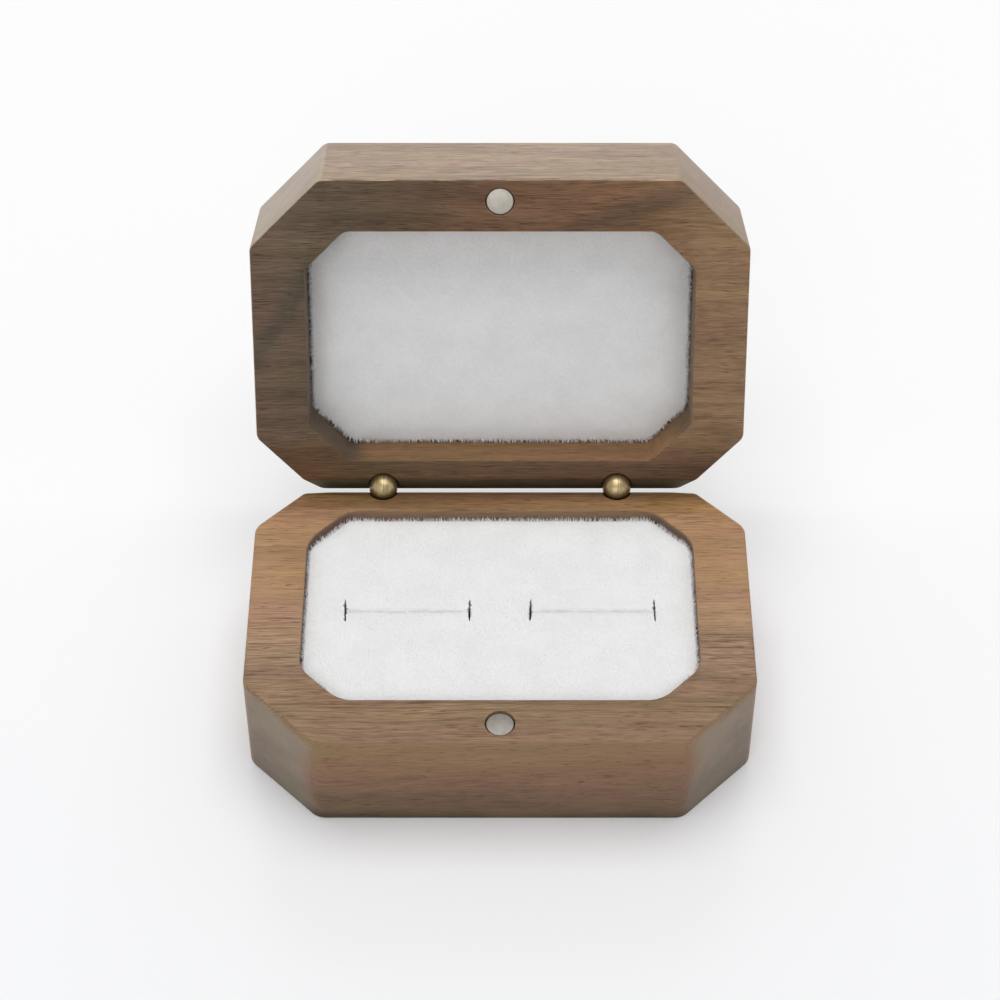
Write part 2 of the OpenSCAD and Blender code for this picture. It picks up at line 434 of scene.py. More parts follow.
def on_cut_corner(s, x, y):
    """1 on the four cut corners, where the two ways out from the middle always add up the same."""
    reach = (HALF_W + REAR_Y - CORNER_CUT) / MM
    return s.band(s.plus(s.size_of(x), s.size_of(y)), reach - 0.85, reach - 0.25)


def on_side(s, x, nx):
    return s.times(s.band(s.size_of(nx), 0.8, 0.95), s.band(s.size_of(x), HALF_W / MM - 1, HALF_W / MM - 0.3))


def base_ground(s, point, normal):
    """The base's own colours: warm towards the hinges, greyer in front, in bands on its front face; painted
    shade darkens its rear edge and the foot of its front face, and in part its rear rim.
    """
    x, y, z = s.split(point)
    nx, ny = s.split(normal)[:2]
    wander = s.minus(s.noise(s.mapping(point, (3, 7, 2), scale=(0.035, 0.11, 0.11)), 1.0, 2.0, 0.5), 0.5)
    along = s.plus(y, s.times(wander, 16.0))
    colour = s.ramp(s.band(along, FRONT_Y / MM, REAR_Y / MM, smooth_ends=False), [
        (0.0, (0.257, 0.163, 0.097)), (0.17, (0.260, 0.165, 0.097)), (0.33, (0.325, 0.209, 0.134)),
        (0.46, (0.398, 0.242, 0.143)), (0.56, (0.390, 0.228, 0.124)), (0.80, (0.390, 0.228, 0.116))])
    # Darker across the rear rim: partly the wood's tone, partly painted shade from the lid standing over it.
    rear = s.ramp(s.band(s.plus(x, s.times(wander, 12.0)), -40, 40, smooth_ends=False), [
        (0.02, (0.226, 0.121, 0.053)), (0.13, (0.180, 0.102, 0.036)), (0.50, (0.210, 0.110, 0.047)),
        (0.78, (0.240, 0.132, 0.058)), (0.88, (0.236, 0.125, 0.046)), (0.98, (0.320, 0.175, 0.076))])
    colour = s.mix(s.band(s.plus(y, s.times(wander, 6.0)), 19.5, 24), colour, rear)
    # Painted shade: a darker strip along the rim's rear edge, next to the chamfer.
    edge = s.band(s.plus(y, s.times(wander, 3.0)), 24.8, 26.4)
    painted_edge_shade = s.mix(s.band(x, -20, -26), (0.66, 0.64, 0.64), (0.50, 0.48, 0.38))
    colour = s.mix(edge, colour, s.mix(1.0, colour, painted_edge_shade, "MULTIPLY"))
    up = s.plus(z, s.times(wander, 9.0))
    # The front face in bands, darkest at its foot: partly the wood's bands, partly painted shade where it
    # meets the floor.
    bands_and_foot_shade = s.ramp(s.band(up, 0, BASE_H / MM, smooth_ends=False), [
        (0.02, (0.086, 0.054, 0.031)), (0.12, (0.162, 0.103, 0.060)), (0.30, (0.206, 0.124, 0.077)),
        (0.50, (0.252, 0.143, 0.084)), (0.68, (0.252, 0.150, 0.080)), (0.85, (0.279, 0.176, 0.093))])
    front = s.band(s.times(ny, -1.0), 0.5, 0.62)
    colour = s.mix(front, colour, bands_and_foot_shade)
    facet = on_cut_corner(s, x, y)
    facet = s.times(facet, s.band(s.plus(s.size_of(x), s.times(wander, 6.0)), 31.5, 35.5))
    facet = s.times(facet, s.band(s.plus(z, s.times(wander, 5.0)), 21.9, 19.4))
    cloud = s.noise(s.mapping(point, (5, 5, 5), scale=(0.16, 0.16, 0.22)), 1.0, 3.0, 0.6)
    height = s.plus(s.plus(z, s.times(y, -0.5)), s.times(s.minus(cloud, 0.5), 26.0))
    grey = s.mix(s.band(height, 12, 34), (0.190, 0.150, 0.111), (0.290, 0.221, 0.165))
    colour = s.mix(facet, colour, s.mix(s.band(y, 0, 10), grey, (0.240, 0.168, 0.114)))
    side = s.times(on_side(s, x, nx), s.band(z, 21.7, 21.2))
    colour = s.mix(side, colour, s.mix(s.band(height, 8, 26), (0.225, 0.150, 0.098), (0.290, 0.195, 0.130)))
    inside = s.times(s.band(flatwise(s, x, y, 0.35, 35.5, 22.4), 1.01, 0.99), s.band(z, 21.8, 21.2))
    wall = s.mix(s.band(s.size_of(x), 26, 29), (0.240, 0.150, 0.098), (0.155, 0.098, 0.074))
    colour = s.mix(inside, colour, wall)
    crowd = s.times(s.band(along, -17, -9), s.band(along, -1, -7))
    lines = s.plus(0.2, s.times(crowd, s.band(s.size_of(x), 33, 38, 0.2, 0.8)))
    near_pocket = s.times(s.band(along, -27, -24.5), s.band(along, -20, -21.5))
    lines = s.plus(lines, s.times(near_pocket, 0.45))
    off_grain = s.math("MAXIMUM", side, s.times(facet, s.band(z, 21.9, 21.2)))
    lines = s.times(lines, s.minus(1.0, s.times(off_grain, 0.9)))
    middle = s.times(s.band(along, -9, -5), s.band(along, 18, 13))
    contrast = s.minus(1.05, s.times(middle, 0.45))
    right_front = s.times(s.band(x, -5, 15), s.band(along, -18, -22))
    contrast = s.minus(contrast, s.times(right_front, 0.35))
    calm = s.times(front, s.band(up, 4, 17, 0.25, 0.62))
    contrast = s.minus(contrast, s.times(calm, contrast))
    dashes = s.minus(1.0, s.times(off_grain, 0.9))
    plain = s.plus(s.times(facet, 0.85), s.times(side, 0.5))
    return colour, lines, s.times(contrast, s.math("SUBTRACT", 1.0, plain, clamp=True)), dashes


def lid_ground(s, point, normal):
    """The lid's own colours: a dark rim and pocket, and pale outer faces, with painted shade on the rear
    chamfer and a painted highlight along the rim's front edge.
    """
    x, y, z = s.split(point)
    nx, ny, nz = s.split(normal)
    wander = s.minus(s.noise(s.mapping(point, (8, 1, 5), scale=(0.03, 0.1, 0.1)), 1.0, 2.0, 0.5), 0.5)
    across = s.plus(x, s.times(wander, 22.0))
    rim = s.ramp(s.band(across, -HALF_W / MM, HALF_W / MM, smooth_ends=False), [
        (0.0, (0.133, 0.086, 0.057)), (0.05, (0.125, 0.085, 0.056)), (0.16, (0.118, 0.082, 0.052)),
        (0.36, (0.124, 0.077, 0.043)), (0.52, (0.163, 0.088, 0.047)), (0.78, (0.197, 0.106, 0.055)),
        (0.93, (0.248, 0.154, 0.086))])
    rear = s.ramp(s.band(x, -40, 0), [
        (0.05, (0.122, 0.061, 0.030)), (0.32, (0.092, 0.054, 0.025)), (0.75, (0.121, 0.067, 0.035))])
    rim = s.mix(s.band(s.plus(y, s.times(wander, 8.0)), 14, 25), rim, rear)
    slant = s.plus(s.times(x, 0.385), y)
    streak = s.size_of(s.plus(slant, 16.4))
    dark = s.times(s.band(streak, 3.4, 0.8), s.band(x, 8, 14))
    dark = s.times(dark, s.band(x, 40, 34))
    rim = s.mix(s.times(dark, 0.5), rim, (0.082, 0.054, 0.037))
    smear = s.plus(s.plus(s.times(x, 1.54), y), 66.2)
    smear = s.size_of(s.plus(smear, s.times(wander, 5.0)))
    smear = s.times(s.band(smear, 5.5, 0.8), s.band(x, -33, -36))
    rim = s.mix(s.times(smear, 0.75), rim, (0.078, 0.062, 0.042))
    pocket = s.times(s.band(flatwise(s, x, y, 0.95, 35.5, 22.5), 1.01, 0.99), s.band(z, 40.5, 40))
    walls = s.times(pocket, s.band(nz, -0.8, -0.6))
    wall = s.mix(s.band(x, -24, -28), (0.229, 0.126, 0.060), (0.103, 0.072, 0.046))
    rim = s.mix(walls, rim, s.mix(s.band(x, 31, 34), wall, (0.160, 0.100, 0.056)))
    outer = s.times(s.band(nz, -0.85, -0.55), s.minus(1.0, pocket))
    end_grain = s.math("MAXIMUM", on_cut_corner(s, x, y), on_side(s, x, nx))
    cut_face = s.mix(s.band(x, -10, 10), (0.414, 0.341, 0.273), (0.326, 0.243, 0.177))
    pale = s.mix(s.band(x, -25, 25), (0.358, 0.258, 0.181), (0.339, 0.246, 0.173))
    pale = s.mix(end_grain, pale, cut_face)
    # Painted shade: the chamfer along the lid's rear edge, which faces forward and down when the lid is open,
    # is painted dark.
    bevel = s.times(s.band(ny, 0.45, 0.65), s.band(nz, -0.45, -0.65))
    outer = s.times(outer, s.minus(1.0, bevel))
    colour = s.mix(bevel, s.mix(outer, rim, pale), (0.123, 0.092, 0.054))
    contrast = s.plus(1.0, s.times(outer, s.minus(0.1, s.times(end_grain, 0.7))))
    lines = s.plus(0.15, s.times(outer, s.times(s.minus(1.0, end_grain), 0.45)))
    # Painted highlight: a broken light line along the eased edge between the rim and the outer front face.
    painted_glint = s.times(s.band(s.times(ny, -1.0), 0.45, 0.65), s.band(s.times(nz, -1.0), 0.45, 0.65))
    broken = s.noise(s.mapping(point, scale=(0.09, 0.3, 0.3)), 1.0, 1.0, 0.5)
    painted_glint = s.times(painted_glint, s.band(broken, 0.48, 0.6))
    painted_glint = s.times(painted_glint, s.minus(1.0, pocket))
    colour = s.mix(s.times(painted_glint, 0.7), colour, (0.62, 0.47, 0.30))
    return colour, lines, contrast, s.minus(1.0, s.times(end_grain, 0.6))


def walnut_finish(name, grain, ground, location, rotation, shift):
    """Walnut with a thin matt oil, its grain read from the piece laid as it was sawn."""
    m, s, bsdf = new_finish(name)
    coord = s.add("ShaderNodeTexCoord")
    laid = s.mapping(coord.outputs["Object"], location, rotation)
    point = s.mapping(laid, scale=IN_MM)
    normal = s.mapping(coord.outputs["Normal"], rotation=rotation, kind="VECTOR")
    colour, lines, contrast, dashes = ground(s, point, normal)
    g = s.group(grain, Point=s.mapping(point, shift), Ground=colour, Lines=lines, Contrast=contrast,
                Dashes=dashes)
    s.link(g.outputs["Color"], bsdf.inputs["Base Color"])
    s.link(g.outputs["Roughness"], bsdf.inputs["Roughness"])
    bsdf.inputs["IOR"].default_value = 1.48
    bsdf.inputs["Specular IOR Level"].default_value = 0.2
    add_bump(s, bsdf, g.outputs["Height"], 0.00005, 0.6)
    return m


def make_nap():
    """Soft mottling of plush or foam: slow patches and a fine tuft, in millimetres."""
    s, i, o = new_group("nap", [
        ("Point", "NodeSocketVector", None),
        ("Color", "NodeSocketColor", (0.8, 0.8, 0.8, 1)),
        ("Shade", "NodeSocketColor", (0.7, 0.7, 0.7, 1)),
        ("Tuft", "NodeSocketFloat", 2.0),
    ], [("Color", "NodeSocketColor"), ("Height", "NodeSocketFloat")])
    patches = s.noise(s.mapping(i["Point"], scale=(0.16, 0.16, 0.16)), 1.0, 3.0, 0.6)
    n = s.add("ShaderNodeTexNoise")
    s.link(i["Point"], n.inputs["Vector"])
    s.link(i["Tuft"], n.inputs["Scale"])
    n.inputs["Detail"].default_value = 2.0
    tuft = n.outputs["Fac"]
    both = s.plus(s.times(patches, 0.6), s.times(tuft, 0.4))
    s.link(s.mix(s.band(both, 0.35, 0.65), i["Shade"], i["Color"]), o["Color"])
    s.link(tuft, o["Height"])
    return s.tree


def nap_finish(name, nap, colour, shade, tuft, bump, sheen=0.0, slit_shade_colour=None):
    m, s, bsdf = new_finish(name)
    point = s.mapping(s.add("ShaderNodeTexCoord").outputs["Object"], scale=IN_MM)
    g = s.group(nap, Point=point, Color=(*colour, 1), Shade=(*shade, 1), Tuft=tuft)
    seen = g.outputs["Color"]
    if slit_shade_colour:
        x, y, z = s.split(point)
        beyond = s.minus(s.size_of(s.minus(s.size_of(x), SLOT_X / MM)), SLOT_LEN / 2 / MM)
        off_line = s.size_of(s.minus(y, SLOT_Y / MM))
        # Painted shade: near black inside the cuts across the slots' ends.
        inside = s.times(s.band(s.size_of(beyond), 0.55, 0.40), s.band(off_line, 3.1, 2.8))
        inside = s.times(inside, s.band(z, PAD_TOP / MM - 0.7, PAD_TOP / MM - 1.4))
        # Painted shade: a faint, patchy grey line along each slot's seam.
        painted_seam_shade = s.times(s.band(off_line, 0.8, 0.1), s.band(beyond, 0.0, -0.8))
        patchy = s.noise(s.mapping(point, scale=(0.4, 2.2, 0.1)), 1.0, 2.0, 0.6)
        painted_seam_shade = s.times(painted_seam_shade, s.band(patchy, 0.38, 0.6, 0.12, 0.42))
        seen = s.mix(painted_seam_shade, seen, (0.56, 0.56, 0.54))
        seen = s.mix(inside, seen, slit_shade_colour)
    s.link(seen, bsdf.inputs["Base Color"])
    bsdf.inputs["Roughness"].default_value = 0.9
    bsdf.inputs["Specular IOR Level"].default_value = 0.2
    if sheen:
        bsdf.inputs["Sheen Weight"].default_value = sheen
        bsdf.inputs["Sheen Roughness"].default_value = 0.5
    add_bump(s, bsdf, g.outputs["Height"], bump, 0.6)
    return m


def make_bloom():
    """Tarnish and fine scuffs of a small turned or plated metal part, in millimetres."""
    s, i, o = new_group("metal_bloom", [
        ("Point", "NodeSocketVector", None),
        ("Bright", "NodeSocketColor", (0.8, 0.7, 0.5, 1)),
        ("Dull", "NodeSocketColor", (0.4, 0.3, 0.15, 1)),
    ], [("Color", "NodeSocketColor"), ("Roughness", "NodeSocketFloat"), ("Height", "NodeSocketFloat")])
    cloud = s.noise(i["Point"], 0.9, 4.0, 0.6)
    grit = s.noise(i["Point"], 14.0, 2.0, 0.5)
    scratch = s.noise(s.mapping(i["Point"], scale=(7.0, 0.5, 0.5)), 1.0, 3.0, 0.6)
    dulled = s.plus(s.times(cloud, 0.6), s.times(scratch, 0.4))
    s.link(s.mix(s.band(dulled, 0.36, 0.64), i["Bright"], i["Dull"]), o["Color"])
    s.link(s.plus(s.band(cloud, 0.3, 0.7, 0.30, 0.40), s.band(grit, 0.4, 0.7, 0.0, 0.08)), o["Roughness"])
    s.link(s.plus(s.times(scratch, 0.7), s.times(grit, 0.3)), o["Height"])
    return s.tree


def metal_finish(name, bloom, bright, dull, bump, add_rough=0.0):
    m, s, bsdf = new_finish(name)
    point = s.mapping(s.add("ShaderNodeTexCoord").outputs["Object"], scale=IN_MM)
    g = s.group(bloom, Point=point, Bright=(*bright, 1), Dull=(*dull, 1))
    s.link(g.outputs["Color"], bsdf.inputs["Base Color"])
    s.link(s.plus(g.outputs["Roughness"], add_rough), bsdf.inputs["Roughness"])
    bsdf.inputs["Metallic"].default_value = 1.0
    add_bump(s, bsdf, g.outputs["Height"], bump, 0.5)
    return m


def card_finish(name):
    m, s, bsdf = new_finish(name)
    point = s.mapping(s.add("ShaderNodeTexCoord").outputs["Object"], scale=IN_MM)
    pulp = s.noise(point, 1.6, 4.0, 0.65)
    fleck = s.noise(s.mapping(point, location=(4, 4, 4), scale=(1.2, 3.5, 2.0)), 1.0, 2.0, 0.5)
    colour = s.ramp(pulp, [(0.3, (0.27, 0.21, 0.15)), (0.7, (0.36, 0.29, 0.21))])
    colour = s.mix(s.band(fleck, 0.62, 0.7), colour, (0.2, 0.15, 0.1))
    s.link(colour, bsdf.inputs["Base Color"])
    bsdf.inputs["Roughness"].default_value = 0.85
    add_bump(s, bsdf, pulp, 0.00005, 0.5)
    return m


grain = make_walnut_grain()
nap = make_nap()
bloom = make_bloom()
base_walnut = walnut_finish("base_walnut", grain, base_ground, (0, 0, 0), (0, 0, 0), (11, 23, 5))
shut_again = Matrix.Rotation(-OPEN_TURN, 4, "X")
lid_walnut = walnut_finish("lid_walnut", grain, lid_ground, PIVOT - shut_again @ PIVOT,
                           (-OPEN_TURN, 0, 0), (57, 4, 31))
pad_plush = nap_finish("pad_plush", nap, (0.88, 0.88, 0.875), (0.835, 0.835, 0.83), 1.6, 0.00006, sheen=0.15,
                       slit_shade_colour=(0.016, 0.015, 0.012))
lining_plush = nap_finish("lining_plush", nap, (0.838, 0.84, 0.838), (0.79, 0.792, 0.79), 1.6, 0.00006,
                          sheen=0.15)
foam_cream = nap_finish("foam_cream", nap, (0.78, 0.76, 0.68), (0.66, 0.63, 0.54), 3.2, 0.0002)
card_brown = card_finish("card_brown")
hinge_brass = metal_finish("hinge_brass", bloom, (0.44, 0.345, 0.19), (0.27, 0.20, 0.105), 0.00003)
# The base magnet's nickel is a darker copy of the lid magnet's: painted shade, as both are the same
# nickel-plated magnet.
base_nickel_shaded = metal_finish("base_nickel_shaded", bloom, (0.235, 0.222, 0.198), (0.205, 0.193, 0.170), 0.000004, 0.12)
lid_nickel = metal_finish("lid_nickel", bloom, (0.430, 0.402, 0.352), (0.395, 0.368, 0.320), 0.000004, 0.12)


# The two wooden halves

def wood_block(name, z_low, z_high, rear_y, rear_cut, bevel_normal, bevel_z, upright_round):
    block = new_cube(name, (-HALF_W, FRONT_Y, z_low), (HALF_W, rear_y, z_high))
    bevel_edges(block, lambda e: upright(e) and e.verts[0].co.y < 0, CORNER_CUT)
    bevel_edges(block, lambda e: upright(e) and e.verts[0].co.y > rear_y - NEAR
                and abs(e.verts[0].co.x) > HALF_W - NEAR, rear_cut)
    bevel_edges(block, upright, upright_round, 6)
    pick_only(block)
    bpy.ops.object.mode_set(mode="EDIT")
    bpy.ops.mesh.select_all(action="SELECT")
    bpy.ops.mesh.bisect(plane_co=(0, BEVEL_Y, bevel_z), plane_no=bevel_normal, use_fill=True,
                        clear_outer=True)
    leave_edit()
    bevel_edges(block, lambda e: e.calc_face_angle() > 0.4 and max(v.co.z for v in e.verts) < NEAR,
                UNDER_EASE, 3)
    bevel_edges(block, lambda e: e.calc_face_angle() > 0.4 and min(v.co.z for v in e.verts) > MM,
                EDGE_EASE, 4)
    return block


def pocket_cutter(z_low, z_high, rounding, shift=0.0):
    cutter = new_cube("pocket_cutter", (-POCKET_X, POCKET_FRONT + shift, z_low),
                      (POCKET_X, POCKET_REAR + shift, z_high))
    bevel_edges(cutter, upright, POCKET_CUT)
    bevel_edges(cutter, upright, rounding, 6)
    return cutter


def ease_rim(block, z, inner, width):
    """Breaks the sharp edge where a cut meets the rim at height z."""
    bevel_edges(block, lambda e: lies_at(e, 2, z) and inner(e.verts[0].co) and inner(e.verts[1].co)
                and any(abs(f.normal.z) < 0.5 for f in e.link_faces), width, 2)


def in_pocket(v):
    return abs(v.x) < POCKET_X + NEAR and POCKET_FRONT - NEAR < v.y < POCKET_REAR + LID_SHIFT + NEAR


def by_magnet(v):
    return math.hypot(v.x, v.y - MAGNET_Y) < MAGNET_HOLE_R + NEAR


def drill_sockets(block, up):
    """Mouth and bore for each hinge leaf; up is 1 in the lid and -1 in the base."""
    for side in (-1, 1):
        ball = Vector((side * HINGE_X, PIVOT.y, PIVOT.z))
        deep, over = Vector((0, 0, up * MOUTH_DEEP)), Vector((0, 0, -up * 3 * MM))
        cut_away(block, new_cylinder("mouth", MOUTH_R, ball + over, ball + deep, 96))
        cut_away(block, new_cylinder("bore", SHANK_R, ball, ball + Vector((0, 0, up * SHANK_END)), 48))


def countersink(block):
    reach = MOUTH_R + MOUTH_FLARE
    for side in (-1, 1):
        bpy.ops.object.select_all(action="DESELECT")
        bpy.ops.mesh.primitive_cone_add(vertices=96, radius1=0, radius2=reach + MM, depth=reach + MM,
                                        location=(side * HINGE_X, PIVOT.y, BASE_H - reach / 2 + MM / 2))
        cone = bpy.context.object
        place_in_mesh(cone)
        cut_away(block, cone)


def make_base():
    block = wood_block("walnut_base", 0, BASE_H, REAR_Y, CORNER_CUT, (0, 1, 1), BASE_H, BASE_ROUND)
    cut_away(block, pocket_cutter(BASE_FLOOR, BASE_H + 5 * MM, BASE_POCKET_ROUND))
    ease_rim(block, BASE_H, in_pocket, POCKET_EASE)
    hole = BASE_H - MAGNET_T - MAGNET_SINK
    cut_away(block, new_cylinder("hole", MAGNET_HOLE_R, (0, MAGNET_Y, hole), (0, MAGNET_Y, BASE_H + MM)))
    ease_rim(block, BASE_H, by_magnet, HOLE_EASE)
    drill_sockets(block, -1)
    countersink(block)
    return block


def make_lid():
    block = wood_block("walnut_lid", LID_Z, LID_TOP, LID_REAR_Y, LID_REAR_CUT, (0, 1, -1), LID_Z, LID_ROUND)
    cut_away(block, pocket_cutter(LID_Z - 5 * MM, LID_ROOF, LID_POCKET_ROUND, LID_SHIFT))
    ease_rim(block, LID_Z, in_pocket, POCKET_EASE)
    hole = LID_Z + MAGNET_T + MAGNET_SINK
    cut_away(block, new_cylinder("hole", MAGNET_HOLE_R, (0, MAGNET_Y, LID_Z - MM), (0, MAGNET_Y, hole)))
    ease_rim(block, LID_Z, by_magnet, HOLE_EASE)
    drill_sockets(block, 1)
    turn_open(block)
    return block


walnut_base = make_base()
smooth(walnut_base)
wear(walnut_base, base_walnut)
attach(walnut_base, "base")
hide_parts("base_body")

walnut_lid = make_lid()
smooth(walnut_lid)
wear(walnut_lid, lid_walnut)
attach(walnut_lid, "lid")
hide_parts("lid_body")


# Magnets, pressed in just below each rim

def make_magnet(name, z_low, finish):
    disc = new_cylinder(name, MAGNET_R, (0, MAGNET_Y, z_low), (0, MAGNET_Y, z_low + MAGNET_T))
    bevel_edges(disc, lambda e: abs(e.verts[0].co.z - e.verts[1].co.z) < SAME, 0.18 * MM, 3)
    smooth(disc)
    wear(disc, finish)
    return disc


base_disc = make_magnet("base_magnet_disc", BASE_H - MAGNET_SINK - MAGNET_T, base_nickel_shaded)
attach(base_disc, "base")
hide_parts("base_magnet")
lid_disc = make_magnet("lid_magnet_disc", LID_Z + MAGNET_SINK, lid_nickel)
turn_open(lid_disc)
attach(lid_disc, "lid")
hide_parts("lid_magnet")


# Ball hinges: a forked leaf in the base, a tongued leaf in the lid and a pin through both

def new_ball(name, radius):
    bpy.ops.object.select_all(action="DESELECT")
    bpy.ops.mesh.primitive_uv_sphere_add(segments=64, ring_count=48, radius=radius)
    obj = bpy.context.object
    obj.name = name
    return obj


def turned_stem(name, sign):
    """Shoulder and shank in one, as turned, from the ball's middle along Z."""
    end_z = sign * (SHOULDER_Z + SHOULDER_T)
    stem = new_cylinder(name, SHOULDER_R, (0, 0, sign * SHOULDER_Z), (0, 0, end_z))
    edit_faces(stem, lambda f: abs(f.normal.z) > 0.9 and abs(f.calc_center_median().z - end_z) < SAME)
    bpy.ops.mesh.inset(thickness=SHOULDER_R - SHANK_R)
    shank = (0, 0, sign * (SHANK_END - SHOULDER_Z - SHOULDER_T))
    bpy.ops.mesh.extrude_region_move(TRANSFORM_OT_translate={"value": shank})
    leave_edit()
    bevel_edges(stem, lambda e: lies_at(e, 2, sign * SHANK_END), 0.25 * MM, 2)
    bevel_edges(stem, lambda e: lies_at(e, 2, sign * SHOULDER_Z), 0.08 * MM, 2)
    return stem


def make_fork(name):
    fork = new_ball(name, BALL_R)
    join_on(fork, new_cylinder("neck", NECK_W / 2, (0, 0, -SHOULDER_Z - SHOULDER_T / 2), (0, 0, 0), 48))
    join_on(fork, turned_stem("stem", -1))
    half = TONGUE_T / 2 + PLAY
    cut_away(fork, new_cylinder("gap", SWING_R, (TONGUE_X - half, 0, 0), (TONGUE_X + half, 0, 0), 96))
    cut_away(fork, new_cylinder("pin_hole", PIN_R, (-4 * MM, 0, 0), (4 * MM, 0, 0), 40))
    edge_x = (TONGUE_X - half, TONGUE_X + half)
    bevel_edges(fork, lambda e: any(lies_at(e, 0, x) for x in edge_x)
                and all(v.co.length > BALL_R - 0.02 * MM for v in e.verts) and e.is_manifold
                and e.calc_face_angle() > 0.6, 0.07 * MM, 2)
    return fork


def make_tongue(name):
    tongue = new_cylinder(name, BALL_R, (TONGUE_X - TONGUE_T / 2, 0, 0), (TONGUE_X + TONGUE_T / 2, 0, 0), 96)
    trim = new_ball("trim", BALL_R)
    m = tongue.modifiers.new("trim", "BOOLEAN")
    m.operation = "INTERSECT"
    m.solver = "EXACT"
    m.object = trim
    apply_last(tongue)
    bpy.data.objects.remove(trim)
    join_on(tongue, new_cube("neck", (TONGUE_X - TONGUE_T / 2, -NECK_W / 2, 0),
                             (TONGUE_X + TONGUE_T / 2, NECK_W / 2, SHOULDER_Z + SHOULDER_T / 2)))
    join_on(tongue, turned_stem("stem", 1))
    cut_away(tongue, new_cylinder("pin_hole", PIN_R + PLAY, (-4 * MM, 0, 0), (4 * MM, 0, 0), 40))
    return tongue


def make_pin(name):
    reach = math.sqrt(BALL_R ** 2 - PIN_R ** 2)
    pin = new_cylinder(name, PIN_R - 0.002 * MM, (-reach, 0, 0), (reach, 0, 0), 40)
    bevel_edges(pin, lambda e: abs(e.verts[0].co.x - e.verts[1].co.x) < SAME, 0.06 * MM, 2)
    return pin


def set_hinge(model, name, side, node, body, turned):
    piece = copy_of(model, name)
    piece.location = (side * HINGE_X, PIVOT.y, PIVOT.z)
    place_in_mesh(piece)
    if turned:
        turn_open(piece)
    smooth(piece)
    wear(piece, hinge_brass)
    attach(piece, body)
    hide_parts(node)


fork_model = make_fork("fork_model")
tongue_model = make_tongue("tongue_model")
pin_model = make_pin("pin_model")
for side, word in ((-1, "left"), (1, "right")):
    set_hinge(fork_model, f"{word}_hinge_fork", side, f"{word}_hinge_base_leaf", "base", False)
    set_hinge(tongue_model, f"{word}_hinge_tongue", side, f"{word}_hinge_lid_leaf", "lid", True)
    set_hinge(pin_model, f"{word}_hinge_cross_pin", side, f"{word}_hinge_pin", "base", False)
for model in (fork_model, tongue_model, pin_model):
    bpy.data.objects.remove(model)


# Soft pieces: foam cores, plush covers and their pile

CROWN_W = 2.9 * MM
CROWN_H = 0.75 * MM
SKIN_IN = 0.12 * MM
SKIN_T = 0.5 * MM
PILE_OVER = 0.35 * MM
LIP_T = 0.6 * MM
SLIT_W = 0.03 * MM
CARD_T = 1 * MM


def pad_block(name, inset, y_low, y_high, low, high, crown_w, crown_h, rounding=1.0 * MM):
    """An eight-sided pad from low up to high, with an edge that rounds over onto its crown."""
    cut = POCKET_CUT - (2 - math.sqrt(2)) * inset
    pad = new_cube(name, (inset - POCKET_X, y_low + inset, low),
                   (POCKET_X - inset, y_high - inset, high - crown_h))
    bevel_edges(pad, upright, cut)
    bevel_edges(pad, upright, rounding, 4)
    edit_faces(pad, lambda f: f.normal.z > 0.9)
    steps, before = 7, (0.0, 0.0)
    for step in range(1, steps + 1):
        turn = math.pi / 2 * step / steps
        now = (crown_w * (1 - math.cos(turn)), crown_h * math.sin(turn))
        bpy.ops.mesh.inset(thickness=now[0] - before[0], depth=now[1] - before[1])
        before = now
    leave_edit()
    return pad


def puff(pad, voxel, low, most):
    """Fills the pad with air as cloth under a little pressure, held by its flat underside."""
    scale = 10
    for v in pad.data.vertices:
        v.co *= scale
    pad.data.remesh_voxel_size = voxel * scale
    pick_only(pad)
    bpy.ops.object.voxel_remesh()
    rest = [v.co.copy() for v in pad.data.vertices]
    held = pad.vertex_groups.new(name="held")
    held.add([v.index for v in pad.data.vertices if v.co.z < (low + 1.2 * voxel) * scale], 1.0, "REPLACE")
    m = pad.modifiers.new("air", "CLOTH")
    c = m.settings
    c.quality = 5
    c.mass = 0.3
    c.tension_stiffness = c.compression_stiffness = 15
    c.shear_stiffness = 5
    c.bending_stiffness = 0.5
    c.use_pressure = True
    c.uniform_pressure_force = 2.5
    c.effector_weights.gravity = 0
    c.vertex_group_mass = "held"
    m.collision_settings.use_collision = False
    m.point_cache.frame_start, m.point_cache.frame_end = 1, 16
    for f in range(1, 17):
        bpy.context.scene.frame_set(f)
    apply_last(pad)
    bpy.context.scene.frame_set(1)
    for v, r in zip(pad.data.vertices, rest):
        move = v.co - r
        if move.length > most * scale:
            move = move.normalized() * most * scale
        v.co = r + Vector((move.x * 0.3, move.y * 0.3, move.z))
    for v in pad.data.vertices:
        v.co /= scale


def slot_share(x):
    """1 along a ring slot, falling to 0 a little past its ends."""
    off = abs(abs(x) - SLOT_X) - SLOT_LEN / 2
    return min(1.0, max(0.0, 1.0 - off / MM)) if off > 0 else 1.0


def make_cover(name, y_low, y_high, low, high, slots=False):
    """The plush cover's outside, puffed, with the slight unevenness of cloth on foam."""
    cover = pad_block(name, SKIN_IN, y_low, y_high, low, high, CROWN_W, CROWN_H)
    puff(cover, 0.95 * MM, low, 0.3 * MM)
    m = cover.modifiers.new("finer", "SUBSURF")
    m.levels = m.render_levels = 1
    apply_last(cover)
    for v in cover.data.vertices:
        if v.co.z > low + 3 * MM:
            lift = noise.noise(v.co * 140) * 0.10 + noise.noise(v.co * 420) * 0.04
            if slots and v.co.z > high - 2 * MM:
                off = (v.co.y - SLOT_Y) / (0.65 * MM)
                lift -= 0.30 * math.exp(-off * off) * slot_share(v.co.x)
                wide = (v.co.y - SLOT_Y) / (2.6 * MM)
                lift -= 0.10 * math.exp(-wide * wide) * slot_share(v.co.x)
            v.co.z += lift * MM * min(1.0, (v.co.z - low - 3 * MM) / (2 * MM))
    return cover


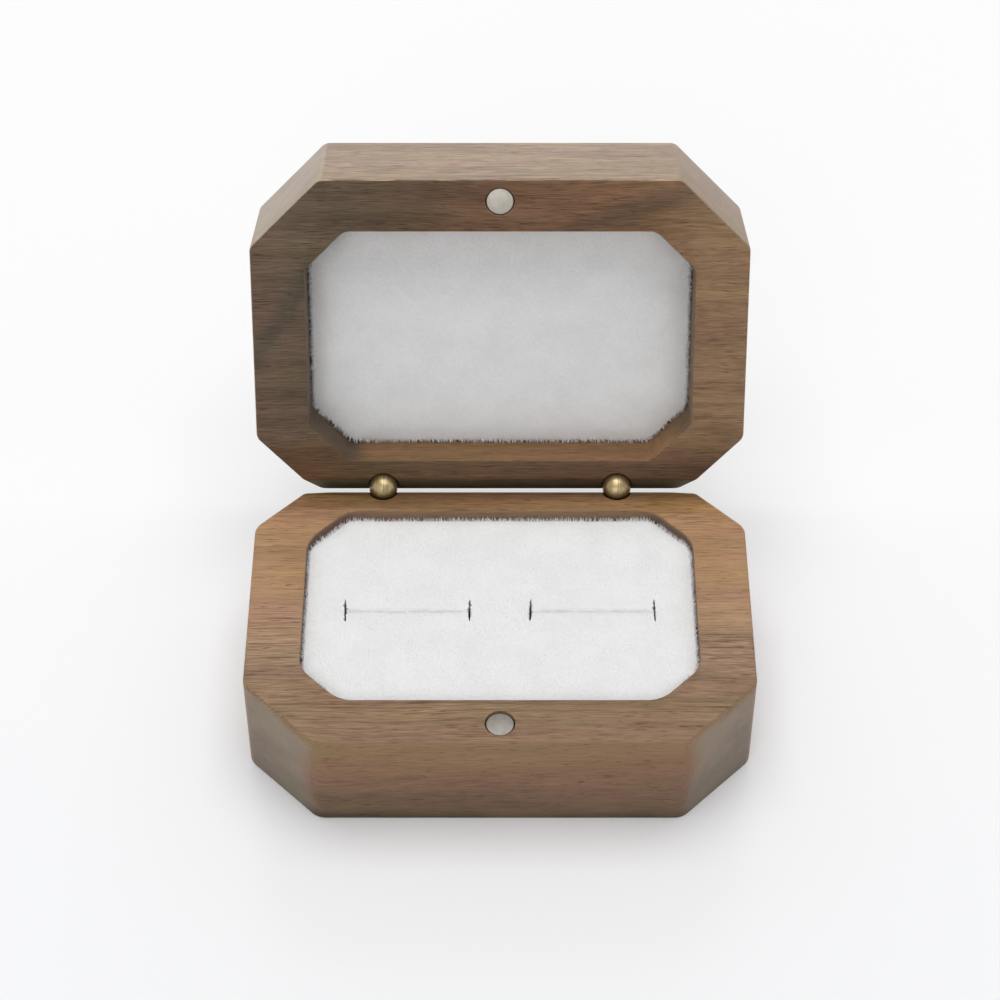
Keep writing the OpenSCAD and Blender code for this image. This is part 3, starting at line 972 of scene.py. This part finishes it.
def make_pile(name, cover, low, facings, per_mm2, length, width, leaning, lifted, seed, bare=None):
    """Fibres on the cover's faces above low that face upward by a share within the facings.

    Each is tipped its own way. Bare keeps them off the slots: how far back from each end of a
    slot, how far past it and how far to each side."""
    tree = bpy.data.node_groups.new(name, "GeometryNodeTree")
    tree.interface.new_socket("Geometry", in_out="INPUT", socket_type="NodeSocketGeometry")
    tree.interface.new_socket("Geometry", in_out="OUTPUT", socket_type="NodeSocketGeometry")
    s = Sheet(tree)
    x, y, z = s.split(s.add("GeometryNodeInputPosition").outputs[0])
    facing = s.split(s.add("GeometryNodeInputNormal").outputs[0])[2]
    wanted = s.times(s.math("GREATER_THAN", facing, facings[0]), s.math("LESS_THAN", facing, facings[1]))
    wanted = s.times(wanted, s.math("GREATER_THAN", z, low))
    spread = s.add("GeometryNodeDistributePointsOnFaces")
    s.link(s.add("NodeGroupInput").outputs[0], spread.inputs["Mesh"])
    s.link(wanted, spread.inputs["Selection"])
    spread.inputs["Density"].default_value = per_mm2 * 1e6
    spread.inputs["Seed"].default_value = seed
    points = spread.outputs["Points"]
    if bare:
        back, past, off = bare
        off_line = s.size_of(s.minus(y, SLOT_Y))
        along = s.size_of(s.minus(s.size_of(x), SLOT_X))
        beyond = s.minus(along, SLOT_LEN / 2)
        in_strip = s.times(s.math("GREATER_THAN", beyond, -back), s.math("LESS_THAN", beyond, past))
        shorn = s.add("GeometryNodeDeleteGeometry", domain="POINT")
        s.link(points, shorn.inputs["Geometry"])
        s.link(s.times(in_strip, s.math("LESS_THAN", off_line, off)), shorn.inputs["Selection"])
        points = shorn.outputs[0]
    spike = s.add("GeometryNodeMeshCone", fill_type="NGON")
    spike.inputs["Vertices"].default_value = 3
    spike.inputs["Radius Top"].default_value = 0.0
    spike.inputs["Radius Bottom"].default_value = width / 2
    spike.inputs["Depth"].default_value = length
    lean = s.add("FunctionNodeRandomValue", data_type="FLOAT_VECTOR")
    lean.inputs[0].default_value = (-leaning, -leaning, 0)
    lean.inputs[1].default_value = (leaning, leaning, 6.28)
    lean.inputs["Seed"].default_value = seed + 1
    stood = s.add("FunctionNodeAlignRotationToVector", axis="Z")
    s.link(s.vmath("ADD", spread.outputs["Normal"], (0, 0, lifted)), stood.inputs["Vector"])
    tip = s.add("FunctionNodeRotateRotation", rotation_space="LOCAL")
    s.link(stood.outputs[0], tip.inputs[0])
    s.link(lean.outputs[0], tip.inputs[1])
    tall = s.add("FunctionNodeRandomValue", data_type="FLOAT")
    tall.inputs[2].default_value = 0.7
    tall.inputs[3].default_value = 1.15
    tall.inputs["Seed"].default_value = seed + 2
    size = s.add("ShaderNodeCombineXYZ")
    size.inputs[0].default_value = size.inputs[1].default_value = 1.0
    s.link(tall.outputs[1], size.inputs[2])
    stand = s.add("GeometryNodeInstanceOnPoints")
    s.link(points, stand.inputs["Points"])
    s.link(spike.outputs["Mesh"], stand.inputs["Instance"])
    s.link(tip.outputs[0], stand.inputs["Rotation"])
    s.link(size.outputs[0], stand.inputs["Scale"])
    real = s.add("GeometryNodeRealizeInstances")
    s.link(stand.outputs[0], real.inputs[0])
    s.link(real.outputs[0], s.add("NodeGroupOutput").inputs[0])
    pile = copy_of(cover, name)
    pile.modifiers.new("pile", "NODES").node_group = tree
    apply_last(pile)
    return pile


def both_piles(name, cover, top, seed, slots=False):
    """A short, even pile over the top, and a longer one that frays out round the edge."""
    ends = (0.2 * MM, 0.2 * MM, END_CUT / 2) if slots else None
    seams = (SLOT_LEN, 2 * MM, 3.5 * MM) if slots else None
    short = make_pile(f"{name}_top", cover, top - 3 * MM, (0.6, 2.0), per_mm2=11, length=0.32 * MM,
                      width=0.07 * MM, leaning=0.35, lifted=0.0, seed=seed, bare=ends)
    long = make_pile(f"{name}_edge", cover, top - 1.2 * MM, (0.05, 0.9), per_mm2=8, length=1.1 * MM,
                     width=0.2 * MM, leaning=0.4, lifted=1.7, seed=seed + 5, bare=seams)
    return short, long


def join_pieces(obj, *others):
    pick_only(obj, *others)
    bpy.ops.object.join()


def ragged_wall(seed, floor, top):
    """A thin upright wall with uneven sides and narrow ends, for a cut through plush."""
    wall = new_cube("end", (-0.2 * MM, -END_CUT / 2, floor), (0.2 * MM, END_CUT / 2, top))
    cuts = 31
    for n in range(cuts):
        pick_only(wall)
        bpy.ops.object.mode_set(mode="EDIT")
        bpy.ops.mesh.select_all(action="SELECT")
        at = (n + 1) / (cuts + 1) * END_CUT - END_CUT / 2
        bpy.ops.mesh.bisect(plane_co=(0, at, 0), plane_no=(0, 1, 0))
        leave_edit()
    for v in wall.data.vertices:
        side = 1 if v.co.x > 0 else -1
        narrow = 1 - abs(2 * v.co.y / END_CUT) ** 3
        uneven = noise.noise((v.co.y * 3600, seed * 900 + side * 7, 0.5))
        torn = max(0.0, noise.noise((v.co.y * 5200, seed * 700 - side * 5, 2.5)))
        v.co.x = side * MM * (0.03 + narrow * (0.17 + 0.2 * uneven + 0.6 * torn))
    return wall


def slot_cutter(gap, floor, top):
    """Both ring slots: each a thin wall with a cut across each end, three of the four cuts turned a little
    off square.
    """
    whole = None
    for side, turns in ((-1, (2, 0)), (1, (-2.5, 1))):
        wall = new_cube("slots", (side * SLOT_X - SLOT_LEN / 2, SLOT_Y - gap / 2, floor),
                        (side * SLOT_X + SLOT_LEN / 2, SLOT_Y + gap / 2, top))
        for end, turn in zip((-1, 1), turns):
            cut = ragged_wall(side * SLOT_X + end * SLOT_LEN / 2, floor, top)
            cut.rotation_euler[2] = math.radians(turn)
            cut.location += Vector((side * SLOT_X + end * SLOT_LEN / 2, SLOT_Y, 0))
            place_in_mesh(cut)
            join_on(wall, cut)
        if whole:
            join_pieces(whole, wall)
        else:
            whole = wall
    return whole


def foam_block(name, y_low, y_high, low, high):
    return pad_block(name, SKIN_IN + SKIN_T, y_low, y_high, low, high, CROWN_W - SKIN_T, CROWN_H, 1.2 * MM)


def trim_under(obj, z):
    pick_only(obj)
    bpy.ops.object.mode_set(mode="EDIT")
    bpy.ops.mesh.select_all(action="SELECT")
    bpy.ops.mesh.bisect(plane_co=(0, 0, z), plane_no=(0, 0, 1), use_fill=True, clear_inner=True)
    leave_edit()


def dress_soft(obj, finish, body, node):
    smooth(obj, 60)
    wear(obj, finish)
    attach(obj, body)
    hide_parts(node)


skin_top = PAD_TOP - PILE_OVER
ring_cover = make_cover("ring_pad_cover", POCKET_FRONT, POCKET_REAR, BASE_FLOOR + 0.02 * MM, skin_top, True)
ring_pile = both_piles("ring_pad_pile", ring_cover, skin_top, 11, True)
ring_foam = foam_block("ring_foam_core", POCKET_FRONT, POCKET_REAR, BASE_FLOOR - MM, skin_top - SKIN_T)
for side in (-1, 1):
    cut_away(ring_foam, new_cube("lips", (side * SLOT_X - SLOT_LEN / 2, SLOT_Y - LIP_T, SLOT_FLOOR),
                                 (side * SLOT_X + SLOT_LEN / 2, SLOT_Y + LIP_T, PAD_TOP + MM)))
cut_away(ring_cover, ring_foam, keep=True)
slots = slot_cutter(SLIT_W, SLOT_FLOOR, PAD_TOP + MM)
cut_away(ring_cover, slots, keep=True)
cut_away(ring_foam, slots)
trim_under(ring_foam, BASE_FLOOR + CARD_T)
join_pieces(ring_cover, *ring_pile)
dress_soft(ring_cover, pad_plush, "base", "ring_pad_plush")
dress_soft(ring_foam, foam_cream, "base", "ring_pad_foam")

lining_skin = LID_ROOF - LINING_TOP - PILE_OVER
lining_cover = make_cover("lid_lining_cover", -POCKET_REAR, -POCKET_FRONT, 0.02 * MM, lining_skin)
lining_pile = both_piles("lid_lining_pile", lining_cover, lining_skin, 37)
lining_foam = foam_block("lining_foam_core", -POCKET_REAR, -POCKET_FRONT, -MM, lining_skin - SKIN_T)
cut_away(lining_cover, lining_foam, keep=True)
trim_under(lining_foam, CARD_T)
join_pieces(lining_cover, *lining_pile)
for soft, finish, node, slot, fill in ((lining_cover, lining_plush, "lid_lining_plush", "white_plush", 0.6),
                                       (lining_foam, foam_cream, "lid_lining_foam", "pad_foam", 1.0)):
    soft.matrix_world = Matrix.Translation((0, LID_SHIFT, LID_ROOF)) @ Matrix.Rotation(math.pi, 4, "X")
    place_in_mesh(soft)
    turn_open(soft)
    dress_soft(soft, finish, "lid", node)

for card in ("ring_pad_card", "lid_lining_card"):
    wear(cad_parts[card], card_brown)


# Floor, light and camera

def make_floor():
    bpy.ops.object.select_all(action="DESELECT")
    bpy.ops.mesh.primitive_plane_add(size=6)
    floor = bpy.context.object
    floor.name = "studio_floor"
    m, s, bsdf = new_finish("studio_white")
    bsdf.inputs["Base Color"].default_value = (0.935, 0.935, 0.94, 1)
    bsdf.inputs["Roughness"].default_value = 0.9
    bsdf.inputs["Specular IOR Level"].default_value = 0.1
    # Painted light: for the camera the floor also glows white, not at all in front of the box, most behind it
    # under the open lid and a little less farther back, which lightens the shadows there
    painted_floor_glow = s.add("ShaderNodeEmission")
    y = s.split(s.mapping(s.add("ShaderNodeTexCoord").outputs["Object"], scale=IN_MM))[1]
    shares = ((0.0, 0.0), (0.09, 0.07), (0.22, 0.15), (0.33, 0.22), (0.375, 0.36), (0.4, 0.55), (0.45, 0.55),
              (0.52, 0.43), (0.7, 0.44), (1.0, 0.48))
    painted_glow_share = s.ramp(s.band(y, -35, 165, smooth_ends=False), [(at, (share,) * 3) for at, share in shares])
    both = s.add("ShaderNodeMixShader")
    s.link(s.times(seen_directly(s), painted_glow_share), both.inputs[0])
    s.link(bsdf.outputs[0], both.inputs[1])
    s.link(painted_floor_glow.outputs[0], both.inputs[2])
    s.link(both.outputs[0], m.node_tree.nodes["Material Output"].inputs["Surface"])
    wear(floor, m)


def soft_lamp(name, place, aim, size, power):
    light = bpy.data.lights.new(name, "AREA")
    light.shape = "SQUARE"
    light.size = size
    light.energy = power
    lamp = bpy.data.objects.new(name, light)
    bpy.context.collection.objects.link(lamp)
    lamp.location = place
    lamp.rotation_euler = (Vector(aim) - Vector(place)).to_track_quat("-Z", "Y").to_euler()


make_floor()
soft_lamp("overhead_light", (0.0, 0.12, 1.15), (0, 0, 0), 0.85, 6.85)
soft_lamp("back_light", (0.0, 1.2, 0.55), (0, 0, 0), 0.8, 3.2)
soft_lamp("front_light", (-0.25, -1.1, 0.7), (0, 0, 0.03), 0.8, 2.8)

world = bpy.context.scene.world or bpy.data.worlds.new("studio")
bpy.context.scene.world = world
world.use_nodes = True
sky = Sheet(world.node_tree)
world.node_tree.nodes.clear()
ambient = sky.add("ShaderNodeBackground")
ambient.inputs["Color"].default_value = (0.97, 0.98, 1.0, 1)
ambient.inputs["Strength"].default_value = 0.45
backdrop = sky.add("ShaderNodeBackground")
backdrop.inputs["Color"].default_value = (1, 1, 1, 1)
backdrop.inputs["Strength"].default_value = 1.0
which = sky.add("ShaderNodeMixShader")
sky.link(seen_directly(sky), which.inputs[0])
sky.link(ambient.outputs[0], which.inputs[1])
sky.link(backdrop.outputs[0], which.inputs[2])
sky.link(which.outputs[0], sky.add("ShaderNodeOutputWorld").inputs["Surface"])

# The camera as it was solved from the photo: its lens, how far it looks down, how far it stands
# from the point it aims at, and that point, up from the floor and then along the picture's height
CAMERA_LENS = 97.94
CAMERA_TILT = math.radians(47.295)
CAMERA_FAR = 489.12 * MM
AIM_UP = 19.78 * MM
AIM_ALONG = 20.05 * MM

camera_data = bpy.data.cameras.new("photo_camera")
camera_data.lens = CAMERA_LENS
camera_data.sensor_width = 36
camera_data.clip_start = 0.01
camera_data.clip_end = 20
camera = bpy.data.objects.new("photo_camera", camera_data)
bpy.context.collection.objects.link(camera)
forward = Vector((0, math.cos(CAMERA_TILT), -math.sin(CAMERA_TILT)))
aim = Vector((0, 0, AIM_UP)) + AIM_ALONG * Vector((0, math.sin(CAMERA_TILT), math.cos(CAMERA_TILT)))
camera.location = aim - forward * CAMERA_FAR
camera.rotation_euler = forward.to_track_quat("-Z", "Y").to_euler()
bpy.context.scene.camera = camera
bpy.context.scene.view_settings.view_transform = "Standard"
